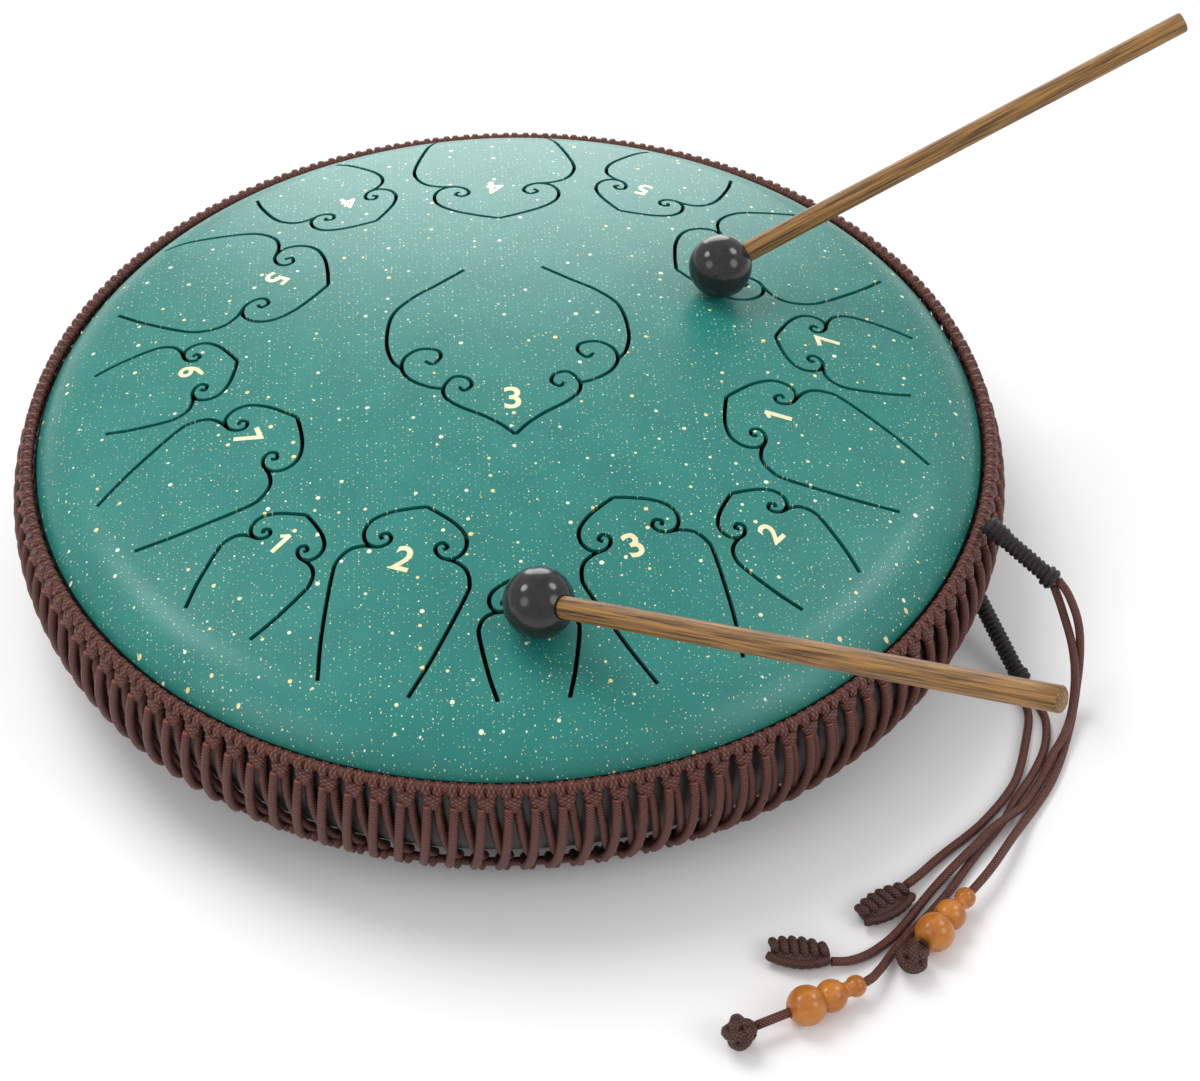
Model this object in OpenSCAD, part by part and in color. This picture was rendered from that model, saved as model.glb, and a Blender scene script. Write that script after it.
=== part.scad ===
// Steel tongue drum with a knotted rope net round its side, two mallets and a cord tassel.
// Millimetres, Z up. The front, where the high 3 is, faces -Y. The origin is the centre of
// the sound port, in the outer face of the bottom plate, so the feet stand at -foot_h.

/* [Shells] */
// Outer diameter of the two shells, without the net
body_d = 355; // [320:1:390]
// Radius of the rounded side, from the bottom plate round to the crown
side_r = 32; // [28:0.5:36]
// Slope of the crown where it runs into the rounded side, in degrees
crown_slope = 12.7; // [10:0.1:15]
// Thickness of the steel
wall = 1.8; // [1.2:0.1:2.4]
// Diameter of the round sound port in the bottom plate
port_d = 50; // [30:1:80]

/* [Tongues] */
// Width of the slots that free the tongues
slot_w = 1.5; // [1:0.1:2]
// Distance of the centre tongue's point in front of the drum's axis
centre_tip = 43; // [38:1:46]
// Greatest half width of the centre tongue
centre_half_w = 44; // [38:1:48]

/* [Feet] */
// Height of the rubber feet
foot_h = 8; // [6:0.5:12]
// Diameter of the rubber feet
foot_d = 24; // [16:1:30]
// Radius of the circle that the feet stand on
foot_ring_r = 110; // [80:1:125]
// Number of feet
feet = 3; // [3:1:4]

/* [Rope net] */
// Diameter of the net's cord
cord_d = 3; // [2.4:0.1:3.2]
// Number of knots round the rim
net_units = 132; // [110:2:140]
// Diameter of the wraps on the top ring cord
wrap_d = 7.6; // [6:0.1:8.6]
// Diameter of the loops on the bottom ring cord
loop_d = 6; // [5:0.1:7]
// Height of the top ring on the rounded side, in degrees above the seam
top_ring_angle = 33; // [28:1:38]
// Place of the bottom ring on the rounded side, in degrees below the seam
bottom_ring_angle = 50; // [44:1:56]

/* [Mallets] */
// Diameter of the rubber ball
ball_d = 23.5; // [20:0.5:30]
// Diameter of the wooden stick
stick_d = 7.5; // [6:0.5:10]
// Length of the mallet over all
mallet_l = 200; // [180:5:260]
// Depth of the hole in the ball that takes the stick
stick_depth = 15; // [10:0.5:18]

/* [Tassel] */
// Diameter of the wound sleeves that the tassel's cords leave
sleeve_d = 6; // [5:0.1:7]
// Length of the upper sleeve
sleeve_1_l = 26; // [22:0.5:30]
// Length of the lower sleeve
sleeve_2_l = 38; // [34:0.5:42]
// Diameter of the largest lobe of a gourd bead
gourd_d = 13; // [11:0.5:14]
// Distance between the centres of neighbouring lobes of a gourd bead
gourd_pitch = 8.8; // [8:0.1:9.6]
// Diameter of the hole through a gourd bead
gourd_bore_d = 3.6; // [3.4:0.1:4]
// Diameter of the ball knots
ball_knot_d = 11.6; // [9:0.2:12.4]
// Length of the leaf knots
leaf_l = 20; // [18:0.5:24]
// Width of the leaf knots
leaf_w = 13; // [10:0.5:15]
// Thickness of the leaf knots
leaf_t = 6; // [4:0.5:6]

/* [Hidden] */

gap = 0.3;      // running gap between pieces that lie on each other
over = 1;       // overrun of a cut past the face it leaves
round_fn = 96;  // fineness of the large round surfaces
small_fn = 32;  // fineness of the small round surfaces

// Shell profile: the side is half a circle about the side centre, and the crown is part of
// a sphere that runs into it smoothly.
body_r = body_d / 2;
side_c = body_r - side_r;
seam_z = side_r;
crown_r = side_r + side_c / sin(crown_slope);
crown_z = seam_z + side_r * cos(crown_slope) - crown_r * cos(crown_slope);
floor_z = -foot_h;

// A tongue's head and the start of its leg, as shares of the head's half width, measured
// from its point: x across, y away from the drum's axis. The head ends in an inward curl.
head_shares = [
    [0, 0], [0.34, 0.13], [0.68, 0.30], [0.93, 0.53], [1, 0.80], [0.90, 1.04],
    [0.68, 1.12], [0.50, 1.03], [0.44, 0.88], [0.54, 0.77], [0.66, 0.84], [0.60, 0.93]
];
leg_shares = [[0.70, 1.12], [0.92, 1.15], [1.14, 1.27], [1.28, 1.52], [1.30, 1.86]];
// Where the leg bends least between its start and its root: shares of the way out
leg_bend_shares = [0.58, 0.04];

// The centre tongue as shares of its half width, measured from its point towards the back
centre_lobe_1_shares = [
    [0, 0], [0.11, 0.12], [0.25, 0.23], [0.42, 0.34], [0.53, 0.45], [0.55, 0.57],
    [0.47, 0.69], [0.36, 0.675], [0.32, 0.59], [0.38, 0.525], [0.43, 0.575]
];
centre_lobe_2_shares = [
    [0.55, 0.56], [0.67, 0.60], [0.81, 0.70], [0.88, 0.84], [0.85, 0.98], [0.73, 1.065],
    [0.59, 1.04], [0.56, 0.955], [0.625, 0.87], [0.69, 0.915]
];
centre_leg_shares = [
    [0.88, 0.84], [0.96, 0.96], [1, 1.2], [0.95, 1.54], [0.78, 1.76], [0.56, 1.93],
    [0.33, 2.12]
];

// One row a tongue: direction and lean in degrees, then as shares of the body radius the
// distance of its point, its head's half width, its length and its root's half width.
// The side tongues are in mirrored pairs.
pair_shares = [
    [36.5, -18, 0.460, 0.139, 0.434, 0.127],
    [62.3, -10, 0.577, 0.107, 0.300, 0.112],
    [5.6, -17, 0.556, 0.092, 0.287, 0.096],
    [-18.4, -13.5, 0.450, 0.106, 0.411, 0.078],
    [-44.8, -8.7, 0.572, 0.079, 0.276, 0.076],
    [-66.8, -5, 0.450, 0.099, 0.408, 0.085]
];
back_shares = [90, 0, 0.485, 0.139, 0.437, 0.124];
front_shares = [-90, 0, 0.588, 0.070, 0.262, 0.064];
function mirrored(row) = [180 - row[0], -row[1], row[2], row[3], row[4], row[5]];
tongue_shares = concat([back_shares, front_shares], pair_shares,
                       [for (row = pair_shares) mirrored(row)]);

// Outline of a strip of width w along the points c
function unit(v) = v / norm(v);
function heading(c, i) = unit(c[min(i + 1, len(c) - 1)] - c[max(i - 1, 0)]);
function beside(c, w) =
    [for (i = [0:len(c) - 1]) let (h = heading(c, i)) c[i] + w / 2 * [-h[1], h[0]]];
function backwards(c) = [for (i = [len(c) - 1:-1:0]) c[i]];
function strip(c, w) = concat(beside(c, w), backwards(beside(c, -w)));

module slot(shares, size) {
    polygon(strip(shares * size, slot_w));
}

// Half of a tongue, with its point at the origin and its root towards +Y
module half_tongue(row) {
    head = row[3] * body_r;
    root = [row[5] * body_r, row[4] * body_r];
    start = leg_shares[len(leg_shares) - 1] * head;
    bend = start + leg_bend_shares[0] * (root - start) + [leg_bend_shares[1] * head, 0];
    slot(head_shares, head);
    polygon(strip(concat(leg_shares * head, [bend, root]), slot_w));
}

module tongue_slots(row) {
    rotate(row[0] - 90)
        translate([0, row[2] * body_r])
            rotate(row[1])
                for (side = [0, 1])
                    mirror([side, 0])
                        half_tongue(row);
}

module centre_slots() {
    translate([0, -centre_tip])
        for (side = [0, 1])
            mirror([side, 0]) {
                slot(centre_lobe_1_shares, centre_half_w);
                slot(centre_lobe_2_shares, centre_half_w);
                slot(centre_leg_shares, centre_half_w);
            }
}

// Half profile of both shells, drawn in by inset
module side_profile(inset) {
    translate([side_c, seam_z])
        circle(r = side_r - inset, $fn = round_fn);
}

module crown_profile(inset) {
    beyond = 2 * side_r;
    intersection() {
        translate([0, crown_z])
            circle(r = crown_r - inset, $fn = 4 * round_fn);
        polygon([
            [0, seam_z], [side_c, seam_z],
            [side_c + beyond * sin(crown_slope), seam_z + beyond * cos(crown_slope)],
            [0, seam_z + beyond * cos(crown_slope)]
        ]);
    }
}

module upper_profile(inset) {
    crown_profile(inset);
    intersection() {
        side_profile(inset);
        translate([side_c, seam_z])
            square([side_r, side_r]);
    }
}

module lower_profile(inset) {
    translate([0, inset])
        square([side_c, seam_z - inset]);
    intersection() {
        side_profile(inset);
        translate([side_c, 0])
            square([side_r, seam_z]);
    }
}

module top_shell() {
    color([0.20, 0.50, 0.46])
        difference() {
            rotate_extrude($fn = round_fn)
                difference() {
                    upper_profile(0);
                    upper_profile(wall);
                }
            translate([0, 0, seam_z])
                linear_extrude(2 * side_r) {
                    for (row = tongue_shares)
                        tongue_slots(row);
                    centre_slots();
                }
        }
}

module bottom_shell() {
    color([0.10, 0.11, 0.11])
        difference() {
            rotate_extrude($fn = round_fn)
                difference() {
                    lower_profile(0);
                    lower_profile(wall);
                }
            translate([0, 0, -over])
                cylinder(d = port_d, h = wall + 2 * over, $fn = round_fn);
        }
}

// Rubber foot, stuck under the bottom plate
foot_edge_r = 1.5;
module foot(i) {
    color([0.08, 0.08, 0.08])
        rotate(30 + 360 / feet * i)
            translate([foot_ring_r, 0, floor_z])
                rotate_extrude($fn = small_fn) {
                    translate([0, foot_edge_r])
                        square([foot_d / 2, foot_h - foot_edge_r]);
                    square([foot_d / 2 - foot_edge_r, foot_edge_r]);
                    translate([foot_d / 2 - foot_edge_r, foot_edge_r])
                        circle(r = foot_edge_r, $fn = small_fn);
                }
}

// Rope net. Each piece lies on the rounded side, at a distance from the side centre.
brown = [0.36, 0.20, 0.17];
top_ring_off = side_r + gap + wrap_d / 2;
bottom_ring_off = side_r + gap + loop_d / 2;
inner_leg_off = side_r + gap + cord_d / 2;
outer_leg_off = inner_leg_off + cord_d + gap;
net_off = outer_leg_off + cord_d / 2;
top_ring_r = side_c + top_ring_off * cos(top_ring_angle);
top_ring_z = seam_z + top_ring_off * sin(top_ring_angle);
bottom_ring_r = side_c + bottom_ring_off * cos(bottom_ring_angle);
bottom_ring_z = seam_z - bottom_ring_off * sin(bottom_ring_angle);
// The legs stop short of the wraps and the loops, and lean outwards from each knot
leg_top = top_ring_angle - (wrap_d / 2 + gap) / inner_leg_off * 180 / PI;
leg_bottom = bottom_ring_angle - (loop_d / 2 + gap) / inner_leg_off * 180 / PI;
leg_lean = 5.2;
leg_place_share = 1 / 3;
thread_gap = 0.1;  // between a ring cord and what is wound on it

module ring_cord(r, z) {
    color(brown)
        translate([0, 0, z])
            rotate_extrude($fn = round_fn)
                translate([r, 0])
                    circle(d = cord_d, $fn = small_fn);
}

// One turn of cord wound on a ring cord, drawn with flat sides outside and in its bore
turn_sides = 8;
bore_sides = 4;
module turn(d, width) {
    bore_d = (cord_d + 2 * thread_gap) / cos(180 / bore_sides);
    rotate([90, 0, 0])
        linear_extrude(width, center = true)
            difference() {
                circle(d = d, $fn = turn_sides);
                circle(d = bore_d, $fn = bore_sides);
            }
}

// Copies of one piece, evenly spaced round the rim
module round_rim(r, z, first, count) {
    color(brown)
        for (i = [0:count - 1])
            rotate((i + first) * 360 / count)
                translate([r, 0, z])
                    children();
}

// Every knot on the top ring is two turns side by side
module net_top_wraps() {
    pitch = PI * 2 * (top_ring_r - wrap_d / 2) / net_units;
    round_rim(top_ring_r, top_ring_z, 1 / 2, 2 * net_units)
        turn(wrap_d, (pitch - gap) / 2 - thread_gap);
}

module net_bottom_loops() {
    round_rim(bottom_ring_r, bottom_ring_z, 1 / 2, net_units)
        turn(loop_d, cord_d);
}

// One leg is an arc of cord that follows the rounded side and leans to one hand
module leg(off, hand) {
    rotate([hand * leg_lean, 0, 0])
        rotate([90, 0, 0])
            rotate([0, 0, -leg_bottom])
                rotate_extrude(angle = leg_top + leg_bottom, $fn = round_fn)
                    translate([off, 0])
                        circle(d = cord_d, $fn = small_fn);
}

module legs(off, hand) {
    round_rim(side_c, seam_z, hand * leg_place_share, net_units)
        leg(off, hand);
}

// A round piece between two points: children are drawn along +Z from the first
module along(a, b) {
    v = b - a;
    translate(a)
        rotate([0, acos(v[2] / norm(v)), atan2(v[1], v[0])])
            children();
}
function polar(r, angle, z) = [r * cos(angle), r * sin(angle), z];
function ahead(a, drop, angle, l) =
    a + l * [cos(drop) * cos(angle), cos(drop) * sin(angle), -sin(drop)];

// Sleeves of thin black cord, wound on the tassel's cords. Directions are in degrees.
black = [0.13, 0.11, 0.12];
sleeve_knot_d = 7;
sleeve_end_d = 8;
sleeve_end_l = 4;
sleeve_1_angle = -25.5;
sleeve_1_heading = -34.5;
sleeve_1_drop = 28.2;
sleeve_1_lift = 20;
sleeve_2_angle = -20.5;
sleeve_2_heading = -73;
sleeve_2_drop = 15;
sleeve_2_place = 38;
sleeve_1_off = wrap_d / 2 + gap + sleeve_knot_d / 2;
sleeve_2_off = net_off + gap + sleeve_d / 2;
sleeve_1_start = polar(top_ring_r + sleeve_1_off * cos(sleeve_1_lift), sleeve_1_angle,
                       top_ring_z + sleeve_1_off * sin(sleeve_1_lift));
sleeve_1_end = ahead(sleeve_1_start, sleeve_1_drop, sleeve_1_heading, sleeve_1_l);
sleeve_2_start = polar(side_c + sleeve_2_off * cos(sleeve_2_place), sleeve_2_angle,
                       seam_z - sleeve_2_off * sin(sleeve_2_place));
sleeve_2_end = ahead(sleeve_2_start, sleeve_2_drop, sleeve_2_heading, sleeve_2_l);

// Turned about its axis: the children are added to its outline
module sleeve(a, b) {
    l = norm(b - a);
    color(black)
        along(a, b)
            rotate_extrude($fn = small_fn) {
                square([sleeve_d / 2, l]);
                translate([0, l - sleeve_end_l])
                    square([sleeve_end_d / 2, sleeve_end_l]);
                children();
            }
}

// The upper one starts at a knot of the same cord
module sleeve_1() {
    sleeve(sleeve_1_start, sleeve_1_end)
        intersection() {
            circle(d = sleeve_knot_d, $fn = small_fn);
            translate([0, -sleeve_knot_d])
                square([sleeve_knot_d, 2 * sleeve_knot_d]);
        }
}

module sleeve_2() {
    sleeve(sleeve_2_start, sleeve_2_end);
}

// Free cords, from the sleeves down to the floor and along it
cord_sides = 8;
cord_1_route = [
    [185.1, -92.4, 43.2], [188.4, -95.3, 39.3], [191.8, -98.1, 32], [193.9, -99.9, 24.6],
    [194.9, -101.9, 17], [195.3, -103.9, 9.5], [195.1, -106.2, 2.4], [194.2, -110, -3.3],
    [192, -116, -6.1], [188.4, -124.2, -6.3], [184.2, -133, -6.3], [178.8, -142.2, -6.3],
    [172.6, -150.4, -6.3], [166, -158.5, -5.2], [159, -167.6, -2.8], [148.1, -181.4, -1.2],
    [135, -194.5, -1.2], [121.2, -208.3, -1.2]
];
cord_2_route = [
    [184.1, -91.9, 40.1], [186.4, -94.1, 34.6], [188.8, -96.8, 28.2], [191, -100.8, 21.8],
    [192.4, -104.3, 15.5], [193.2, -106.8, 9.3], [193.4, -109.2, 3.2], [192.5, -113.1, -1.2],
    [190.2, -118.6, -2.9], [186.6, -124.9, -3.2], [181.6, -131.4, -4.8], [177.3, -138.4, -6.2],
    [172.2, -145.3, -6.3], [166.6, -152.4, -5], [160.2, -157.8, -3.2], [153.6, -162.4, -3.1],
    [146.4, -169, -3.1], [138.8, -175.5, -4], [131.2, -182, -5.9], [124.6, -188.9, -6.3],
    [118.7, -195.6, -6.3], [112.2, -201.8, -6.3], [104.6, -206.9, -6.2], [97.6, -209.6, -5.5],
    [91.5, -210, -4.7]
];
cord_3_route = [
    [179.7, -97.9, -3.8], [181.9, -105, -6.1], [183.4, -112.8, -6.3], [182.2, -120.8, -6.3],
    [179.3, -128.5, -6.3], [175, -135.6, -6.3], [170, -142.4, -6.3], [164.6, -149.2, -6.3],
    [159.8, -156.2, -6.3], [154.2, -162.6, -6.3], [148.4, -168.7, -6.3], [142.8, -175.2, -6.3],
    [137.2, -182, -6.3], [131.2, -188.6, -6.3], [124.5, -195.1, -6.3], [118.2, -200.9, -6.3],
    [113.2, -205.9, -5.9], [109.4, -210.9, -4.6], [105.6, -216, -2.6], [100.8, -220.5, -1.2],
    [88, -225.2, -1.2], [63.8, -233.9, -1.2]
];
cord_4_route = [
    [176.5, -98.6, -3.8], [177.9, -105.6, -6], [177.6, -112.6, -6.3], [175.6, -119.4, -6.3],
    [173.2, -126, -6.3], [170.5, -132.9, -6.3], [167.1, -139.9, -6.3], [162.4, -146.3, -6.3],
    [157, -152.2, -6.3], [150.8, -158.2, -6.3], [144.5, -163.2, -6.3], [138.1, -167.8, -6.3],
    [132.2, -172.4, -6.2], [126.7, -177.3, -5.6], [120.7, -182.2, -4.7]
];

// Ring of points about point i of a route, square to the route there
function side_ways(h) = unit(cross(h, [0, 0, 1]) + [0, 0.001, 0]);
function route_ring(p, i, d) = let (h = heading(p, i), u = side_ways(h), v = cross(u, h))
    [for (k = [0:cord_sides - 1]) let (a = 360 / cord_sides * (k + 1 / 2))
        p[i] + d / 2 * (cos(a) * u + sin(a) * v)];

module tube(p, d) {
    rings = len(p);
    points = [for (i = [0:rings - 1]) each route_ring(p, i, d)];
    sides = [for (i = [0:rings - 2], k = [0:cord_sides - 1])
        let (a = i * cord_sides + k, b = i * cord_sides + (k + 1) % cord_sides)
        each [[a, a + cord_sides, b], [b, a + cord_sides, b + cord_sides]]];
    start = [for (k = [0:cord_sides - 1]) k];
    end = [for (k = [cord_sides - 1:-1:0]) (rings - 1) * cord_sides + k];
    polyhedron(points, concat(sides, [start, end]));
}

module free_cord(route) {
    color(brown)
        tube(route, cord_d);
}

// Beads and knots on the cords. An axis is given by its knot's place and its heading.
pendant_z = floor_z + gap + gourd_d / 2;
knot_1_place = [117, -212.5];
knot_1_heading = 45;
knot_2_place = [58.2, -235.9];
knot_2_heading = 19.7;
free_length = 11.4;  // bare cord between the second gourd bead and its ball knot
lobe_shares = [1, 0.81, 0.54];
neck_share = 0.38;
wood = [0.80, 0.45, 0.12];

module on_axis(place, heading, from) {
    translate([place[0], place[1], pendant_z])
        rotate(heading)
            translate([from, 0, 0])
                rotate([0, 90, 0])
                    children();
}

// Turned in one piece: three round lobes, the largest next to the ball knot
module gourd() {
    color(wood)
        difference() {
            rotate_extrude($fn = 2 * small_fn)
                intersection() {
                    union() {
                        for (i = [0:2])
                            translate([0, gourd_pitch * i])
                                circle(d = gourd_d * lobe_shares[i], $fn = 2 * small_fn);
                        square([gourd_d * neck_share / 2, 2 * gourd_pitch]);
                    }
                    translate([0, -gourd_d])
                        square([gourd_d, 2 * gourd_d + 2 * gourd_pitch]);
                }
            translate([0, 0, -gourd_d])
                cylinder(d = gourd_bore_d, h = 2 * gourd_d + 2 * gourd_pitch, $fn = small_fn);
        }
}

gourd_1_from = ball_knot_d / 2 + gap + gourd_d / 2;
gourd_2_from = ball_knot_d / 2 + free_length + gourd_d / 2;

module ball_knot(place) {
    color(brown)
        translate([place[0], place[1], pendant_z])
            sphere(d = ball_knot_d, $fn = small_fn);
}

// A leaf knot is a flat shape, the part that two circles share, cut off square at both ends
leaf_a_stem = [121, -184.5];
leaf_a_heading = 208;
leaf_b_stem = [91.1, -207.5];
leaf_b_heading = 170;
leaf_z = floor_z + gap + leaf_t / 2;
leaf_blunt = 5;  // length cut off each end
module leaf_knot(stem, heading) {
    whole = leaf_l + 2 * leaf_blunt;
    bow = (whole * whole + leaf_w * leaf_w) / (4 * leaf_w);
    color([0.22, 0.12, 0.11])
        translate([stem[0], stem[1], leaf_z])
            rotate(heading)
                translate([0, 0, -leaf_t / 2])
                    linear_extrude(leaf_t)
                        intersection() {
                            translate([leaf_l / 2, bow - leaf_w / 2])
                                circle(r = bow, $fn = round_fn);
                            translate([leaf_l / 2, leaf_w / 2 - bow])
                                circle(r = bow, $fn = round_fn);
                            translate([0, -leaf_w])
                                square([leaf_l, 2 * leaf_w]);
                        }
}

// Mallets, shown as they strike: each ball on its tongue, and its stick rising to the hand.
// A ball's distance from the drum's axis is a share of the body radius.
ball_r = ball_d / 2;
ball_1_share = 0.493;
ball_1_angle = 23.5;
stick_1_heading = 11.4;
stick_1_rise = 23.6;
ball_2_share = 0.707;
ball_2_angle = -88.5;
stick_2_heading = -40.7;
stick_2_rise = 22.9;
function ball_z(r) = crown_z + sqrt(pow(crown_r + ball_r + gap, 2) - r * r);

module mallet_place(r, angle, heading, rise) {
    translate(polar(r, angle, ball_z(r)))
        rotate([0, 90 - rise, heading])
            children();
}

// Moulded rubber ball with a blind hole for its stick
module mallet_ball() {
    color([0.12, 0.12, 0.12])
        difference() {
            sphere(d = ball_d, $fn = round_fn);
            translate([0, 0, ball_r - stick_depth])
                cylinder(d = stick_d + thread_gap, h = stick_depth + over, $fn = small_fn);
        }
}

module mallet_stick() {
    color([0.55, 0.36, 0.15])
        translate([0, 0, ball_r - stick_depth])
            cylinder(d = stick_d, h = mallet_l - ball_d + stick_depth, $fn = small_fn);
}

module first_mallet() {
    mallet_place(ball_1_share * body_r, ball_1_angle, stick_1_heading, stick_1_rise)
        children();
}

module second_mallet() {
    mallet_place(ball_2_share * body_r, ball_2_angle, stick_2_heading, stick_2_rise)
        children();
}

top_shell();
bottom_shell();
foot(0);  // foot_1
foot(1);  // foot_2
foot(2);  // foot_3
ring_cord(top_ring_r, top_ring_z);  // net_top_cord
net_top_wraps();
legs(outer_leg_off, -1);  // net_left_legs
legs(inner_leg_off, 1);  // net_right_legs
ring_cord(bottom_ring_r, bottom_ring_z);  // net_bottom_cord
net_bottom_loops();
sleeve_1();
sleeve_2();
free_cord(cord_1_route);  // cord_1
free_cord(cord_2_route);  // cord_2
free_cord(cord_3_route);  // cord_3
free_cord(cord_4_route);  // cord_4
leaf_knot(leaf_a_stem, leaf_a_heading);  // leaf_knot_a
leaf_knot(leaf_b_stem, leaf_b_heading);  // leaf_knot_b
ball_knot(knot_1_place);  // ball_knot_1
ball_knot(knot_2_place);  // ball_knot_2
on_axis(knot_1_place, knot_1_heading, gourd_1_from) gourd();  // gourd_bead_1
on_axis(knot_2_place, knot_2_heading, gourd_2_from) gourd();  // gourd_bead_2
first_mallet() mallet_ball();  // mallet_1_ball
first_mallet() mallet_stick();  // mallet_1_stick
second_mallet() mallet_ball();  // mallet_2_ball
second_mallet() mallet_stick();  // mallet_2_stick
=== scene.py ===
import math
from math import cos, pi, radians, sin, sqrt

import bpy
from mathutils import Matrix, Vector
from mathutils.geometry import delaunay_2d_cdt


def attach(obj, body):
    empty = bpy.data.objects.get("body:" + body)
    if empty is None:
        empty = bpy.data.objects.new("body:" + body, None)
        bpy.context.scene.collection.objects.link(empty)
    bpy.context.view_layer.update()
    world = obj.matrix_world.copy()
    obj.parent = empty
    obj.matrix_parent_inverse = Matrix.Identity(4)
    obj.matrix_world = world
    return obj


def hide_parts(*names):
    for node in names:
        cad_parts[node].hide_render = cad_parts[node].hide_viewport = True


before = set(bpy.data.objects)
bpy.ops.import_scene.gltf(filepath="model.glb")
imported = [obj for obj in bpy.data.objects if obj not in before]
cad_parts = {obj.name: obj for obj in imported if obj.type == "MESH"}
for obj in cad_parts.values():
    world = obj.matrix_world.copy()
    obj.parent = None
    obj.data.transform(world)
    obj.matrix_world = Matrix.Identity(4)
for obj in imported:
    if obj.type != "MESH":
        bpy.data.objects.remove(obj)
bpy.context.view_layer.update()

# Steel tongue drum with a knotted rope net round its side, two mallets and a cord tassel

mm = 0.001
bpy.ops.object.select_all(action="DESELECT")

# Camera
# It looks down at the drum from the player's side, over the high 3, with a longish lens.
camera_place = Vector((-17.41, -596.80, 585.06)) * mm
camera_right = (0.99688685, -0.07860885, 0.00610324)
camera_up = (0.05155052, 0.70839713, 0.70392901)
camera_back = (-0.05965857, -0.70142295, 0.71024411)
camera_lens = 64.93
camera_film = 36
bpy.ops.object.camera_add()
camera = bpy.context.object
camera.name = "photo_camera"
camera.data.lens = camera_lens
camera.data.sensor_width = camera_film
camera.data.sensor_fit = "HORIZONTAL"
camera.data.clip_start = 0.01
turned = Matrix((camera_right, camera_up, camera_back)).transposed().to_4x4()
camera.matrix_world = Matrix.Translation(camera_place) @ turned
bpy.context.scene.camera = camera
bpy.context.scene.view_settings.view_transform = "Standard"


# Floor and light
# A plain white table top in an even white room, with a large soft light above, one behind
# that shows as a pale sheen on the paint alone, and a weaker one at each side.
def new_material(name):
    """A material, with its nodes, its links and its main shader."""
    material = bpy.data.materials.new(name)
    material.use_nodes = True
    nodes = material.node_tree.nodes
    return material, nodes, material.node_tree.links, nodes["Principled BSDF"]


def add_node(nodes, kind, **settings):
    made = nodes.new("ShaderNode" + kind)
    for name, value in settings.items():
        setattr(made, name, value)
    return made


foot_height = 8 * mm
floor_size = 12
bpy.ops.mesh.primitive_plane_add(size=floor_size, location=(0, 0, -foot_height - 0.1 * mm))
floor = bpy.context.object
floor.name = "floor"
bpy.ops.object.transform_apply(location=True)
floor_paint, nodes, links, shader = new_material("white_floor")
shader.inputs["Base Color"].default_value = (0.93, 0.93, 0.93, 1)
shader.inputs["Roughness"].default_value = 0.9
shader.inputs["Specular IOR Level"].default_value = 0.2
floor.data.materials.append(floor_paint)

world = bpy.data.worlds.new("white_room")
bpy.context.scene.world = world
world.use_nodes = True
nodes, links = world.node_tree.nodes, world.node_tree.links
room = nodes["Background"]
room.inputs["Color"].default_value = (1, 1, 1, 1)
room.inputs["Strength"].default_value = 0.7
backdrop = add_node(nodes, "Background")
backdrop.inputs["Color"].default_value = (1, 1, 1, 1)
seen = add_node(nodes, "LightPath")
choice = add_node(nodes, "MixShader")
links.new(seen.outputs["Is Camera Ray"], choice.inputs["Fac"])
links.new(room.outputs["Background"], choice.inputs[1])
links.new(backdrop.outputs["Background"], choice.inputs[2])
links.new(choice.outputs["Shader"], nodes["World Output"].inputs["Surface"])


def soft_light(name, place, size, power):
    """A round soft light that points at the drum."""
    bpy.ops.object.light_add(type="AREA", location=place)
    lamp = bpy.context.object
    lamp.name = name
    lamp.data.shape = "DISK"
    lamp.data.size = size
    lamp.data.energy = power
    lamp.rotation_euler = (-Vector(place)).to_track_quat("-Z", "Y").to_euler()
    return lamp


soft_light("main_light", (-0.5, 0.55, 1.3), 0.9, 12).visible_glossy = False
soft_light("sheen_light", (0.05, 1.5, 0.42), 1.1, 11).visible_diffuse = False
soft_light("left_sheen", (-0.95, 0.3, 1.15), 0.5, 5).visible_diffuse = False
soft_light("right_sheen", (0.95, 0.3, 1.15), 0.5, 4).visible_diffuse = False
soft_light("right_light", (1.1, -0.7, 0.9), 0.7, 3.5)
soft_light("left_light", (-1.1, -0.7, 0.9), 0.7, 2.5)

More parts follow.
